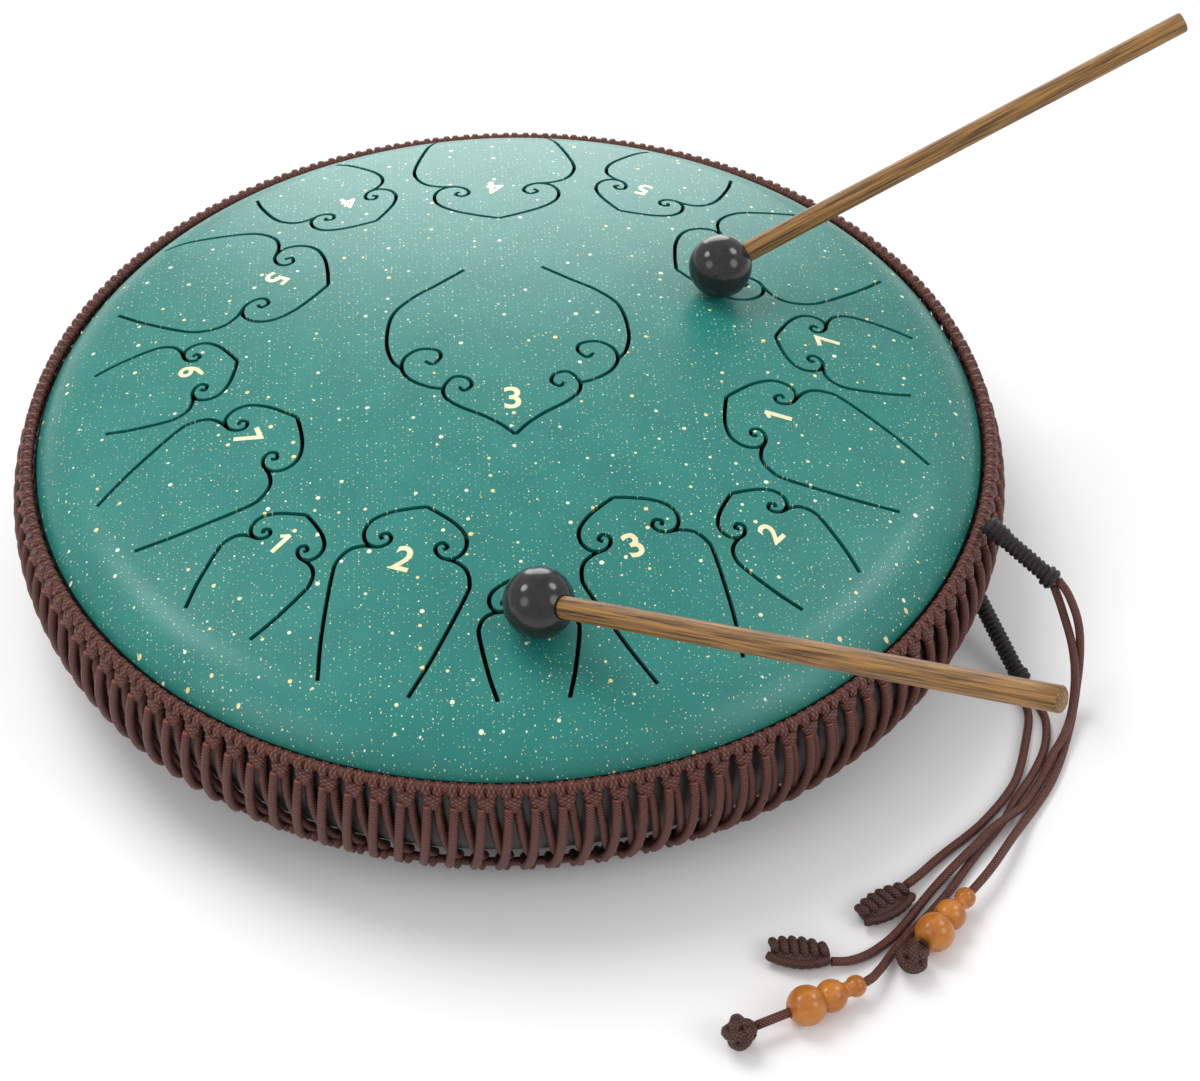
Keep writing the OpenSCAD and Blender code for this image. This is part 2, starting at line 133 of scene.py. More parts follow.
# Tassel cords
# Four ends of 3 mm braided satin cord leave the net through two sleeves, hang to the floor
# and lie along it to their knots. Each follows its solid's route, eased through its points.
cord_d = 3 * mm
cord_routes = {
    "cord_1": [
        (185.1, -92.4, 43.2), (188.4, -95.3, 39.3), (191.8, -98.1, 32), (193.9, -99.9, 24.6),
        (194.9, -101.9, 17), (195.3, -103.9, 9.5), (195.1, -106.2, 2.4), (194.2, -110, -3.3),
        (192, -116, -6.1), (188.4, -124.2, -6.3), (184.2, -133, -6.3), (178.8, -142.2, -6.3),
        (172.6, -150.4, -6.3), (166, -158.5, -5.2), (159, -167.6, -2.8), (148.1, -181.4, -1.2),
        (135, -194.5, -1.2), (121.2, -208.3, -1.2)],
    "cord_2": [
        (184.1, -91.9, 40.1), (186.4, -94.1, 34.6), (188.8, -96.8, 28.2), (191, -100.8, 21.8),
        (192.4, -104.3, 15.5), (193.2, -106.8, 9.3), (193.4, -109.2, 3.2),
        (192.5, -113.1, -1.2), (190.2, -118.6, -2.9), (186.6, -124.9, -3.2),
        (181.6, -131.4, -4.8), (177.3, -138.4, -6.2), (172.2, -145.3, -6.3),
        (166.6, -152.4, -5), (160.2, -157.8, -3.2), (153.6, -162.4, -3.1), (146.4, -169, -3.1),
        (138.8, -175.5, -4), (131.2, -182, -5.9), (124.6, -188.9, -6.3), (118.7, -195.6, -6.3),
        (112.2, -201.8, -6.3), (104.6, -206.9, -6.2), (97.6, -209.6, -5.5), (91.5, -210, -4.7)],
    "cord_3": [
        (179.7, -97.9, -3.8), (181.9, -105, -6.1), (183.4, -112.8, -6.3), (182.2, -120.8, -6.3),
        (179.3, -128.5, -6.3), (175, -135.6, -6.3), (170, -142.4, -6.3), (164.6, -149.2, -6.3),
        (159.8, -156.2, -6.3), (154.2, -162.6, -6.3), (148.4, -168.7, -6.3),
        (142.8, -175.2, -6.3), (137.2, -182, -6.3), (131.2, -188.6, -6.3),
        (124.5, -195.1, -6.3), (118.2, -200.9, -6.3), (113.2, -205.9, -5.9),
        (109.4, -210.9, -4.6), (105.6, -216, -2.6), (100.8, -220.5, -1.2), (88, -225.2, -1.2),
        (63.8, -233.9, -1.2)],
    "cord_4": [
        (176.5, -98.6, -3.8), (177.9, -105.6, -6), (177.6, -112.6, -6.3), (175.6, -119.4, -6.3),
        (173.2, -126, -6.3), (170.5, -132.9, -6.3), (167.1, -139.9, -6.3),
        (162.4, -146.3, -6.3), (157, -152.2, -6.3), (150.8, -158.2, -6.3),
        (144.5, -163.2, -6.3), (138.1, -167.8, -6.3), (132.2, -172.4, -6.2),
        (126.7, -177.3, -5.6), (120.7, -182.2, -4.7)],
}


def eased(points, steps, closed=False):
    """Points on a smooth curve through the given ones."""
    points = [Vector(p) for p in points]
    n = len(points)
    if closed:
        led = [points[-1]] + points + points[:2]
    else:
        led = [2 * points[0] - points[1]] + points + [2 * points[-1] - points[-2]]
    out = []
    for i in range(n if closed else n - 1):
        a, b, c, d = led[i:i + 4]
        for k in range(steps):
            t = k / steps
            out.append(0.5 * (2 * b + (c - a) * t + (2 * a - 5 * b + 4 * c - d) * t ** 2
                              + (3 * b - a - 3 * c + d) * t ** 3))
    return out if closed else out + [points[-1]]


def cord_tube(name, points, radius, sides=10, closed=False, flat=1, up=(0, 0, 1)):
    """A tube of cord along points, with a UV map whose V is the length in cord diameters.
    radius is one number or one for each point. flat squeezes it along up."""
    points = [Vector(p) for p in points]
    n = len(points)
    radii = radius if isinstance(radius, list) else [radius] * n
    verts, along = [], [0]
    for a, b in zip(points, points[1:] + points[:1]):
        along.append(along[-1] + (b - a).length / cord_d)
    side = None
    for i, p in enumerate(points):
        before = points[i - 1] if i or closed else p
        after = points[(i + 1) % n] if i < n - 1 or closed else p
        way = (after - before).normalized()
        if side is None:
            side = way.cross(Vector(up))
        side = (side - way * side.dot(way)).normalized()
        lift = way.cross(side)
        for k in range(sides):
            turn = 2 * pi * k / sides
            verts.append(p + radii[i] * (cos(turn) * side + flat * sin(turn) * lift))
    faces, uvs = [], []
    for i in range(n if closed else n - 1):
        j = (i + 1) % n
        for k in range(sides):
            m = (k + 1) % sides
            faces.append((i * sides + k, i * sides + m, j * sides + m, j * sides + k))
            uvs += [(k / sides, along[i]), ((k + 1) / sides, along[i]),
                    ((k + 1) / sides, along[i + 1]), (k / sides, along[i + 1])]
    if not closed:
        faces.append(tuple(reversed(range(sides))))
        faces.append(tuple(range((n - 1) * sides, n * sides)))
        uvs += [(0.5, 0)] * sides + [(0.5, along[n - 1])] * sides
    mesh = bpy.data.meshes.new(name)
    mesh.from_pydata(verts, [], faces)
    layer = mesh.uv_layers.new(name="UVMap")
    for loop, uv in zip(layer.data, uvs):
        loop.uv = uv
    mesh.shade_smooth()
    made = bpy.data.objects.new(name, mesh)
    bpy.context.collection.objects.link(made)
    return made


def braid_material(name, colour, dark, plaits=1.7, depth=0.35):
    """Braided satin cord: two sets of slanting strands that cross, with a painted highlight on
    their backs and painted shade in the grooves between them.
    """
    material, nodes, links, shader = new_material(name)
    uv = add_node(nodes, "UVMap", uv_map="UVMap")
    split = add_node(nodes, "SeparateXYZ")
    links.new(uv.outputs["UV"], split.inputs["Vector"])
    strands = []
    for hand in (1, -1):
        slant = add_node(nodes, "Math", operation="MULTIPLY")
        links.new(split.outputs["X"], slant.inputs[0])
        slant.inputs[1].default_value = hand * 7
        place = add_node(nodes, "Math", operation="MULTIPLY_ADD")
        links.new(split.outputs["Y"], place.inputs[0])
        place.inputs[1].default_value = plaits
        links.new(slant.outputs[0], place.inputs[2])
        wave = add_node(nodes, "Math", operation="PINGPONG")
        links.new(place.outputs[0], wave.inputs[0])
        wave.inputs[1].default_value = 0.5
        strands.append(wave)
    back = add_node(nodes, "Math", operation="MULTIPLY")
    links.new(strands[0].outputs[0], back.inputs[0])
    links.new(strands[1].outputs[0], back.inputs[1])
    raised = add_node(nodes, "Math", operation="MULTIPLY")
    links.new(back.outputs[0], raised.inputs[0])
    raised.inputs[1].default_value = 4
    place = add_node(nodes, "TexCoord")
    fuzz = add_node(nodes, "TexNoise")
    fuzz.inputs["Scale"].default_value = 900
    fuzz.inputs["Detail"].default_value = 3
    links.new(place.outputs["Object"], fuzz.inputs["Vector"])
    shade = add_node(nodes, "Math", operation="MULTIPLY_ADD")
    links.new(fuzz.outputs["Fac"], shade.inputs[0])
    shade.inputs[1].default_value = 0.4
    links.new(raised.outputs[0], shade.inputs[2])
    # The ramp paints shade into the grooves between the strands (its dark end) and light onto
    # their raised backs (its bright end)
    ramp = add_node(nodes, "ValToRGB")
    ramp.color_ramp.elements[0].position = 0.2
    ramp.color_ramp.elements[0].color = (*dark, 1)
    ramp.color_ramp.elements[1].position = 1
    ramp.color_ramp.elements[1].color = (*colour, 1)
    links.new(shade.outputs[0], ramp.inputs["Fac"])
    links.new(ramp.outputs["Color"], shader.inputs["Base Color"])
    bump = add_node(nodes, "Bump")
    bump.inputs["Strength"].default_value = depth
    bump.inputs["Distance"].default_value = 0.25 * mm
    links.new(shade.outputs[0], bump.inputs["Height"])
    links.new(bump.outputs["Normal"], shader.inputs["Normal"])
    shader.inputs["Roughness"].default_value = 0.5
    shader.inputs["Specular IOR Level"].default_value = 0.35
    return material


# For each braid the first colour is the cord on the lit backs of its strands, and the second is
# the painted shade in the grooves
brown_braid = braid_material("brown_braid", (0.25, 0.080, 0.053), (0.040, 0.012, 0.009), 2.6, 0.8)
dark_braid = braid_material("dark_braid", (0.150, 0.058, 0.040), (0.022, 0.008, 0.006), 2.8, 0.8)


def finish_piece(piece, body, slot, material, *replaced):
    """Gives a piece its finish, its body and the solids that it stands for."""
    piece.data.materials.clear()
    piece.data.materials.append(material)
    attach(piece, body)
    if replaced:
        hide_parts(*replaced)


def one_piece(name, parts):
    """Joins several meshes into one object."""
    bpy.ops.object.select_all(action="DESELECT")
    for part in parts:
        part.select_set(True)
    bpy.context.view_layer.objects.active = parts[0]
    bpy.ops.object.join()
    parts[0].name = name
    parts[0].data.name = name
    parts[0].select_set(False)
    return parts[0]


tassel_cords = {}
cord_lines = {}
for name, route in cord_routes.items():
    cord_lines[name] = eased([Vector(p) * mm for p in route], 4)
    tassel_cords[name] = cord_tube("tassel_" + name, cord_lines[name], cord_d / 2, 12)
    finish_piece(tassel_cords[name], "drum", "brown_cord", brown_braid, name)

# Ball knots
# Each is a plaited button knot at the end of its cord, pulled tight into a round lump.
knot_r = 5.8 * mm
floor_z = -foot_height
floor_gap = 0.3 * mm
gourd_r = 6.5 * mm
bead_z = floor_z + floor_gap + gourd_r
ball_knots = {
    "ball_knot_1": Vector((117 * mm, -212.5 * mm, bead_z)),
    "ball_knot_2": Vector((58.2 * mm, -235.9 * mm, bead_z)),
}


def spun(name, profile, steps, axis_way=(0, 0, 1), start=(0, 0, 0)):
    """A turned piece: the profile's points are (radius, place along the axis)."""
    mesh = bpy.data.meshes.new(name)
    points = [(r, 0, h) for r, h in profile]
    mesh.from_pydata(points, [(i, i + 1) for i in range(len(points) - 1)], [])
    made = bpy.data.objects.new(name, mesh)
    bpy.context.collection.objects.link(made)
    bpy.ops.object.select_all(action="DESELECT")
    made.select_set(True)
    bpy.context.view_layer.objects.active = made
    bpy.ops.object.mode_set(mode="EDIT")
    bpy.ops.mesh.select_all(action="SELECT")
    bpy.ops.mesh.spin(steps=steps, angle=2 * pi, center=(0, 0, 0), axis=(0, 0, 1))
    bpy.ops.mesh.select_all(action="SELECT")
    bpy.ops.mesh.remove_doubles(threshold=1e-6)
    bpy.ops.mesh.normals_make_consistent(inside=False)
    bpy.ops.object.mode_set(mode="OBJECT")
    layer = mesh.uv_layers.new(name="UVMap")
    for face in mesh.polygons:
        for loop in face.loop_indices:
            co = mesh.vertices[mesh.loops[loop].vertex_index].co
            middle = math.atan2(face.center.y, face.center.x) / (2 * pi)
            u = math.atan2(co.y, co.x) / (2 * pi)
            layer.data[loop].uv = (u + round(middle - u), co.z / cord_d)
    turn = Vector(axis_way).to_track_quat("Z", "Y").to_matrix().to_4x4()
    mesh.transform(Matrix.Translation(start) @ turn)
    mesh.shade_smooth()
    made.select_set(False)
    return made


def button_knot(name, centre, tilt):
    """A cord wound over and under itself on a ball: the curve circles the ball while it
    swings between the poles, and dips where it passes under."""
    points = []
    bights, leads, steps = 4, 3, 132
    strand_r = 0.30 * knot_r
    path_r = knot_r - 1.3 * strand_r
    reach, dip = 0.86, 0.17
    for i in range(steps):
        t = 2 * pi * i / steps
        around = leads * t
        swing = bights * t
        tall = reach * sin(swing)
        r = path_r * (1 + dip * cos(swing))
        points.append(Vector((r * cos(around) * sqrt(1 - tall ** 2),
                              r * sin(around) * sqrt(1 - tall ** 2), r * tall)))
    rope = cord_tube(name, points, strand_r, 8, closed=True)
    rope.data.transform(Matrix.Translation(centre) @ Matrix.Rotation(tilt, 4, (1, 0.4, 0.2)))
    core_r, core_slant = 0.6 * knot_r, 0.42 * knot_r
    core = spun(name + "_core", [(0, -core_r), (core_slant, -core_slant), (core_r, 0),
                                 (core_slant, core_slant), (0, core_r)], 16)
    core.data.transform(Matrix.Translation(centre))
    return one_piece(name, [rope, core])


knots = {}
for name, centre in ball_knots.items():
    tilt = radians(65) if name == "ball_knot_1" else radians(20)
    knots[name] = button_knot("tassel_" + name, centre, tilt)
    finish_piece(knots[name], "drum", "brown_cord", dark_braid, name)

# Leaf knots
# A flat blunt leaf of tightly plaited cord: a thick spine along one edge, fat slanted ribs
# laid from the other edge down to it, and a filling of cord behind them.
leaf_l = 20 * mm
leaf_w = 13 * mm
leaf_t = 6 * mm
leaf_whole = 30 * mm
leaf_bow = (leaf_whole ** 2 + leaf_w ** 2) / (4 * leaf_w)
leaf_knots = {
    "leaf_knot_a": (Vector((121, -184.5, 0)) * mm, radians(208)),
    "leaf_knot_b": (Vector((91.1, -207.5, 0)) * mm, radians(170)),
}
leaf_ribs = 6


def leaf_half_width(x):
    """Half width of the leaf at x along it: the part that two circles share."""
    return sqrt(leaf_bow ** 2 - (x - leaf_l / 2) ** 2) - (leaf_bow - leaf_w / 2)


def leaf_knot(name, stem, heading):
    """The plaited leaf, drawn from its stem along X and turned to its heading."""
    centre_z = floor_z + floor_gap + leaf_t / 2
    rib_r = 1.62 * mm
    spine_r = 1.6 * mm
    spine = []
    for k in range(17):
        x = leaf_l * k / 16
        spine.append((x, leaf_half_width(x) - spine_r, 0.5 * mm))
    thick = [spine_r * (1 if k % 2 else 0.86) for k in range(17)]
    parts = [cord_tube(name + "_spine", spine, thick, 10)]
    for k in range(leaf_ribs):
        x = leaf_l * (k + 0.62) / (leaf_ribs + 0.25)
        edge = leaf_half_width(x) - 0.9 * rib_r
        foot = leaf_half_width(x) - 2.3 * spine_r
        rib = []
        for j in range(9):
            t = j / 8
            rib.append((x + (0.9 - 2.2 * t) * mm, -edge + (edge + foot) * t,
                        -1.2 * mm + 2.5 * mm * sin(pi * min(1, 0.12 + t)) ** 0.5))
        fat = [rib_r * r for r in (0.72, 0.95, 1, 1, 1, 1, 0.98, 0.85, 0.6)]
        parts.append(cord_tube(name + "_rib", rib, fat, 10))
    back = [(leaf_l * (0.06 + 0.88 * k / 12), 0, -0.7 * mm) for k in range(13)]
    parts.append(cord_tube(name + "_core", back, [leaf_half_width(p[0]) - 0.7 * mm for p in back],
                           12, flat=0.3))
    made = one_piece(name, parts)
    made.data.transform(Matrix.Translation((stem.x, stem.y, centre_z))
                        @ Matrix.Rotation(heading, 4, "Z"))
    return made


for name, (stem, heading) in leaf_knots.items():
    knots[name] = leaf_knot("tassel_" + name, stem, heading)
    finish_piece(knots[name], "drum", "dark_cord", dark_braid, name)

# Gourd beads
# Turned and varnished orange-brown wood, in three round lobes with narrow necks, and a hole
# from end to end for the cord.
# where each lobe's centre is along the bead, and its radius
gourd_pitch = 8.8 * mm
gourd_lobes = ((0, gourd_r), (gourd_pitch, 0.81 * gourd_r), (2 * gourd_pitch, 0.54 * gourd_r))
gourd_bore_r = 1.8 * mm
gourd_neck_r = 2.47 * mm
# ball knot, heading, distance of the large lobe from it, body
gourd_places = {
    "gourd_bead_1": ("ball_knot_1", radians(45), knot_r + 0.3 * mm + gourd_r, "bead_1"),
    "gourd_bead_2": ("ball_knot_2", radians(19.7), knot_r + 11.4 * mm + gourd_r, "bead_2"),
}


def wood_material(name, dark, light, place, way, stripe, long_share, gloss, spread=(0.35, 0.65)):
    """Wood whose grain runs along way from place, in streaks stripe wide."""
    material, nodes, links, shader = new_material(name)
    where = add_node(nodes, "TexCoord")
    turned = add_node(nodes, "Mapping", vector_type="TEXTURE")
    turned.inputs["Location"].default_value = place
    turned.inputs["Rotation"].default_value = Vector(way).to_track_quat("Z", "Y").to_euler()
    links.new(where.outputs["Object"], turned.inputs["Vector"])
    drawn = add_node(nodes, "Mapping")
    drawn.inputs["Scale"].default_value = (1 / stripe, 1 / stripe, long_share / stripe)
    links.new(turned.outputs["Vector"], drawn.inputs["Vector"])
    grain = add_node(nodes, "TexNoise")
    grain.inputs["Scale"].default_value = 1
    grain.inputs["Detail"].default_value = 5
    grain.inputs["Roughness"].default_value = 0.6
    grain.inputs["Distortion"].default_value = 0.4
    links.new(drawn.outputs["Vector"], grain.inputs["Vector"])
    ramp = add_node(nodes, "ValToRGB")
    ramp.color_ramp.elements[0].position = spread[0]
    ramp.color_ramp.elements[0].color = (*dark, 1)
    ramp.color_ramp.elements[1].position = spread[1]
    ramp.color_ramp.elements[1].color = (*light, 1)
    links.new(grain.outputs["Fac"], ramp.inputs["Fac"])
    links.new(ramp.outputs["Color"], shader.inputs["Base Color"])
    bump = add_node(nodes, "Bump")
    bump.inputs["Strength"].default_value = 0.15
    bump.inputs["Distance"].default_value = 0.1 * mm
    links.new(grain.outputs["Fac"], bump.inputs["Height"])
    links.new(bump.outputs["Normal"], shader.inputs["Normal"])
    shader.inputs["Roughness"].default_value = gloss
    return material


def gourd_profile():
    """Radius and place along the bead, from the bore's mouth by the large lobe and back."""
    points = []
    arcs = 14
    ends = []
    for i, (centre, r) in enumerate(gourd_lobes):
        start = -pi / 2 + math.asin(gourd_bore_r / r) if i == 0 else -math.acos(gourd_neck_r / r)
        stop = pi / 2 - math.asin(gourd_bore_r / r) if i == 2 else math.acos(gourd_neck_r / r)
        ends.append((start, stop))
        for k in range(arcs + 1):
            t = start + (stop - start) * k / arcs
            points.append((r * cos(t), centre + r * sin(t)))
    first, last = points[0][1], points[-1][1]
    points += [(gourd_bore_r, last + (first - last) * k / 3) for k in (1, 2, 3)]
    return points


gourds = {}
for name, (knot, heading, from_knot, body) in gourd_places.items():
    way = Vector((cos(heading), sin(heading), 0))
    start = ball_knots[knot] + way * from_knot
    gourds[name] = spun("tassel_" + name, gourd_profile(), 40, way, start)
    orange_wood = wood_material(name + "_wood", (0.36, 0.105, 0.013), (0.55, 0.195, 0.026),
                                start, way, 5 * mm, 0.35, 0.24)
    finish_piece(gourds[name], body, "bead_wood", orange_wood, name)

# Sleeves
# Thin black cord wound closely round each pair of tassel cords, with a thicker end where they
# come out. The upper one starts at a knot on the net's top ring.
# Its second colour is the painted shade in the grooves between the strands
black_braid = braid_material("black_braid", (0.034, 0.025, 0.026), (0.004, 0.003, 0.003), 3, 0.8)
sleeve_r = 3.2 * mm
sleeve_end_r = 4 * mm
sleeve_end_l = 4 * mm
winding = 2 * mm
# start, heading, drop, length, radius of the knot at the start
sleeves = {
    "sleeve_1": (Vector((165.1, -78.8, 54.3)) * mm, -34.5, 28.2, 26 * mm, 3.7 * mm),
    "sleeve_2": (Vector((167.2, -62.5, 6.2)) * mm, -73, 15, 38 * mm, 0),
}


def wound_sleeve(name, start, way, length, knob_r):
    """Turns of thin cord side by side, seen as rounded ribs, thicker at a knot and at the end."""
    before = knob_r * 1.3
    groove = 0.35 * winding
    turns = round((length + before) / winding)
    profile = [(0, -before)]
    for k in range(turns):
        for j in range(6):
            h = (k + j / 6) * (length + before) / turns - before
            swell = knob_r if h < knob_r else sleeve_r
            if h > length - sleeve_end_l:
                swell = sleeve_end_r
            profile.append((swell - groove * (1 - sin(pi * j / 6)), h))
    profile += [(sleeve_end_r - groove, length), (0, length)]
    return spun(name, profile, 24, way, start)


for name, (start, heading, drop, length, knob_r) in sleeves.items():
    heading, drop = radians(heading), radians(drop)
    way = Vector((cos(drop) * cos(heading), cos(drop) * sin(heading), -sin(drop)))
    piece = wound_sleeve("tassel_" + name, start, way, length, knob_r)
    finish_piece(piece, "drum", "black_cord", black_braid, name)

# Upper shell
# Pressed steel under teal baking paint, with 15 tongues cut free by narrow slots. Each slot
# is a smooth scroll. The shell is laid out flat by its girth, cut, and lifted to its form.
# The side of both shells is half a circle, and the crown is part of a sphere that runs
# smoothly into it.
body_r = 177.5 * mm
side_r = 32 * mm
wall = 1.8 * mm
crown_slope = radians(12.7)
side_c = body_r - side_r
seam_z = side_r
crown_r = side_r + side_c / sin(crown_slope)
crown_z = seam_z + side_r * cos(crown_slope) - crown_r * cos(crown_slope)
join_r = crown_r * sin(crown_slope)
slot_w = 1.5 * mm
teal_r = 172.4 * mm
head_shares = [
    (0, 0), (0.34, 0.13), (0.68, 0.30), (0.93, 0.53), (1, 0.80), (0.90, 1.04),
    (0.68, 1.12), (0.50, 1.03), (0.44, 0.88), (0.54, 0.77), (0.66, 0.84), (0.60, 0.93)]
leg_shares = [(0.70, 1.12), (0.92, 1.15), (1.14, 1.27), (1.28, 1.52), (1.30, 1.86)]
centre_lobe_1_shares = [
    (0, 0), (0.11, 0.12), (0.25, 0.23), (0.42, 0.34), (0.53, 0.45), (0.55, 0.57),
    (0.47, 0.69), (0.36, 0.675), (0.32, 0.59), (0.38, 0.525), (0.43, 0.575)]
centre_lobe_2_shares = [
    (0.55, 0.56), (0.67, 0.60), (0.81, 0.70), (0.88, 0.84), (0.85, 0.98), (0.73, 1.065),
    (0.59, 1.04), (0.56, 0.955), (0.625, 0.87), (0.69, 0.915)]
centre_leg_shares = [
    (0.88, 0.84), (0.96, 0.96), (1, 1.2), (0.95, 1.54), (0.78, 1.76), (0.56, 1.93),
    (0.33, 2.12)]
centre_tip = 43 * mm
centre_half_w = 44 * mm
# direction, lean, then as shares of the body radius: point, head, length, root
pair_shares = [
    (36.5, -18, 0.460, 0.139, 0.434, 0.127), (62.3, -10, 0.577, 0.107, 0.300, 0.112),
    (5.6, -17, 0.556, 0.092, 0.287, 0.096), (-18.4, -13.5, 0.450, 0.106, 0.411, 0.078),
    (-44.8, -8.7, 0.572, 0.079, 0.276, 0.076), (-66.8, -5, 0.450, 0.099, 0.408, 0.085)]
tongue_shares = [(90, 0, 0.485, 0.139, 0.437, 0.124), (-90, 0, 0.588, 0.070, 0.262, 0.064)]
tongue_shares += pair_shares + [(180 - a, -lean, *rest) for a, lean, *rest in pair_shares]


def strip(shares, size, hand, place):
    """Outline of one slot, on the plan of the drum."""
    line = eased([(hand * x * size, y * size, 0) for x, y in shares], 5)
    edges = ([], [])
    for i, p in enumerate(line):
        way = (line[min(i + 1, len(line) - 1)] - line[max(i - 1, 0)]).normalized()
        out = Vector((-way.y, way.x, 0)) * slot_w / 2
        edges[0].append(place @ (p + out))
        edges[1].append(place @ (p - out))
    outline = edges[0] + edges[1][::-1]
    area = sum(p.x * q.y - p.y * q.x for p, q in zip(outline, outline[1:] + outline[:1]))
    return outline if area > 0 else outline[::-1]


outlines = []
for angle, lean, tip, head, length, root in tongue_shares:
    head, length, root = head * body_r, length * body_r, root * body_r
    place = (Matrix.Rotation(radians(angle - 90), 4, "Z")
             @ Matrix.Translation((0, tip * body_r, 0)) @ Matrix.Rotation(radians(lean), 4, "Z"))
    start = Vector(leg_shares[-1]) * head
    bend = start + 0.58 * (Vector((root, length)) - start) + Vector((0.04 * head, 0))
    leg = leg_shares + [tuple(bend / head), (root / head, length / head)]
    for hand in (1, -1):
        outlines.append(strip(head_shares, head, hand, place))
        outlines.append(strip(leg, head, hand, place))
centre_place = Matrix.Translation((0, -centre_tip, 0))
for shares in (centre_lobe_1_shares, centre_lobe_2_shares, centre_leg_shares):
    for hand in (1, -1):
        outlines.append(strip(shares, centre_half_w, hand, centre_place))

side_start = crown_slope
girth = join_r + side_r * (pi / 2 - side_start)


def flat_girth(r):
    """Length over the shell from its axis to radius r."""
    if r <= join_r:
        return r
    return join_r + side_r * (math.asin(min(1, (r - side_c) / side_r)) - side_start)


def lifted(s, angle, depth):
    """The point at girth s, depth below the outer face, and the normal there."""
    if s <= join_r:
        r, turn = s, math.asin(s / crown_r)
        z = crown_z + sqrt(crown_r ** 2 - r ** 2)
    else:
        turn = side_start + (s - join_r) / side_r
        r, z = side_c + side_r * sin(turn), seam_z + side_r * cos(turn)
    normal = Vector((sin(turn) * cos(angle), sin(turn) * sin(angle), cos(turn)))
    return Vector((r * cos(angle), r * sin(angle), z)) - normal * depth, normal


def slotted_shell(name):
    """The upper shell: rings of points laid flat, joined into a mesh that leaves out the
    slots, lifted to the outer face and the inner one, and closed round every edge."""
    flat, rims = [Vector((0, 0))], []
    grid, rim_count, side_rings = 6 * mm, 240, 18
    ring_s = [grid * k for k in range(1, int(join_r / grid))] + [
        join_r + (girth - join_r) * k / side_rings for k in range(side_rings + 1)]
    for k, s in enumerate(ring_s):
        count = rim_count if s > join_r - 1 * mm else max(8, int(2 * pi * s / grid))
        flat += [Vector((s * cos(2 * pi * (i + k % 2 / 2) / count),
                         s * sin(2 * pi * (i + k % 2 / 2) / count))) for i in range(count)]
    for outline in outlines:
        rim = []
        for p in outline:
            angle, r = math.atan2(p.y, p.x), math.hypot(p.x, p.y)
            s = flat_girth(r)
            rim.append(len(flat))
            flat.append(Vector((s * cos(angle), s * sin(angle))))
        rims.append(rim)
    places, _, cells, _, _, owners = delaunay_2d_cdt(flat, [], rims, 0, 1e-7)
    kept = [cell for cell, owner in zip(cells, owners) if not owner]
    used = sorted({i for cell in kept for i in cell})
    order = {i: n for n, i in enumerate(used)}
    kept = [[order[i] for i in cell] for cell in kept]
    verts, normals = [], []
    for depth in (0, wall):
        for i in used:
            s, angle = places[i].length, math.atan2(places[i].y, places[i].x)
            p, normal = lifted(min(s, girth), angle, depth)
            verts.append(p)
            normals.append(normal if depth == 0 else -normal)
    faces, corners = [], []
    half = len(used)
    sides = {}
    for cell in kept:
        a, b, c = (places[used[i]] for i in cell)
        if (b - a).cross(c - a) < 0:
            cell.reverse()
        faces.append(tuple(cell))
        faces.append(tuple(i + half for i in reversed(cell)))
        corners += [normals[i] for i in faces[-2]] + [normals[i] for i in faces[-1]]
        for i, j in zip(cell, cell[1:] + cell[:1]):
            sides[(i, j)] = True
    for i, j in sides:
        if (j, i) not in sides:
            faces.append((j, i, i + half, j + half))
            out = (verts[i] - verts[j]).cross(normals[i]).normalized()
            corners += [-out] * 4
    mesh = bpy.data.meshes.new(name)
    mesh.from_pydata(verts, [], faces)
    mesh.shade_smooth()
    mesh.normals_split_custom_set(corners)
    made = bpy.data.objects.new(name, mesh)
    bpy.context.collection.objects.link(made)
    return made


# the soft edge of every spot, and for each of three sizes: cell, least and greatest radius,
# and how rare the large ones are
speck_edge = 0.12 * mm
speck_sizes = ((1.6 * mm, 0, 0.24 * mm, 1.3), (3.2 * mm, 0, 0.36 * mm, 2),
               (8.5 * mm, 0.05 * mm, 0.9 * mm, 2.2))


def speckle(nodes, links, vector, size, small, large, rarity):
    """Spots of paint in cells of the given size: 1 inside a spot. Also its own random tint."""
    cells = add_node(nodes, "TexVoronoi", voronoi_dimensions="2D")
    cells.inputs["Scale"].default_value = 1 / size
    links.new(vector, cells.inputs["Vector"])
    tint = add_node(nodes, "SeparateColor")
    links.new(cells.outputs["Color"], tint.inputs["Color"])
    spread = add_node(nodes, "Math", operation="POWER")
    links.new(tint.outputs[0], spread.inputs[0])
    spread.inputs[1].default_value = rarity
    reach = add_node(nodes, "Math", operation="MULTIPLY_ADD")
    links.new(spread.outputs[0], reach.inputs[0])
    reach.inputs[1].default_value = (large - small) / size
    reach.inputs[2].default_value = small / size
    over = add_node(nodes, "Math", operation="SUBTRACT")
    links.new(reach.outputs[0], over.inputs[0])
    links.new(cells.outputs["Distance"], over.inputs[1])
    soft = add_node(nodes, "Math", operation="MULTIPLY", use_clamp=True)
    links.new(over.outputs[0], soft.inputs[0])
    soft.inputs[1].default_value = size / speck_edge
    return soft.outputs[0], tint.outputs[1]


